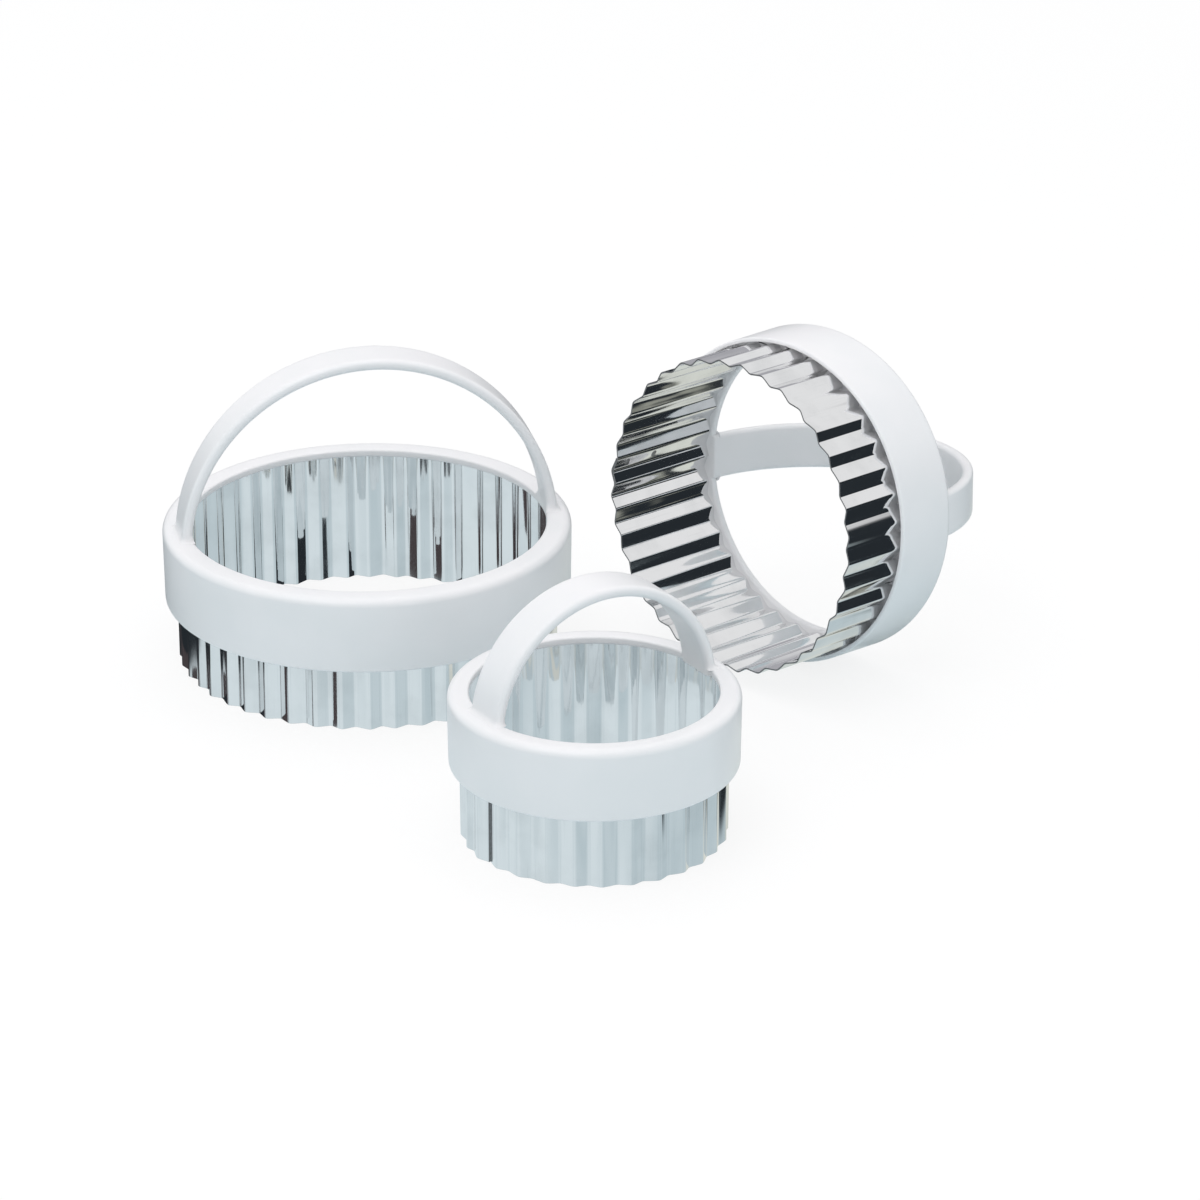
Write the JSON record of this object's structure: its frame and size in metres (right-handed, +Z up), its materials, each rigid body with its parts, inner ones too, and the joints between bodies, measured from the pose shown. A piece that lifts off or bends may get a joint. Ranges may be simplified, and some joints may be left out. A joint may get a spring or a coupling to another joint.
{
  "type": "fluted biscuit cutter set",
  "caption": "Fluted round biscuit cutters in stepped sizes, each a crimped steel ring in a white moulded rim with an arched strap handle; one lies on its side.",
  "frame": {"origin": "middle of the set's footprint, on the table that it stands on", "axes": "+Z up from the table; +X to the right and +Y away from the viewer, as the picture shows the set"},
  "size_m": [0.1744, 0.161, 0.0721],
  "materials": {
    "fluted_steel": "bright rolled strip, close to a mirror",
    "white_plastic": "satin, slightly glossy moulded white"
  },
  "bodies": {
    "large_cutter": {"large_blade": "fluted_steel", "large_rim": "white_plastic", "large_handle": "white_plastic"},
    "medium_cutter": {"medium_blade": "fluted_steel", "medium_rim": "white_plastic", "medium_handle": "white_plastic"},
    "small_cutter": {"small_blade": "fluted_steel", "small_rim": "white_plastic", "small_handle": "white_plastic"}
  },
  "joints": [
    {"name": "medium_lift", "type": "slide", "parent": "large_cutter", "child": "medium_cutter", "axis": [0, 0, 1], "range_m": [0, 0.1]},
    {"name": "small_lift", "type": "slide", "parent": "large_cutter", "child": "small_cutter", "axis": [0, 0, 1], "range_m": [0, 0.1]}
  ]
}
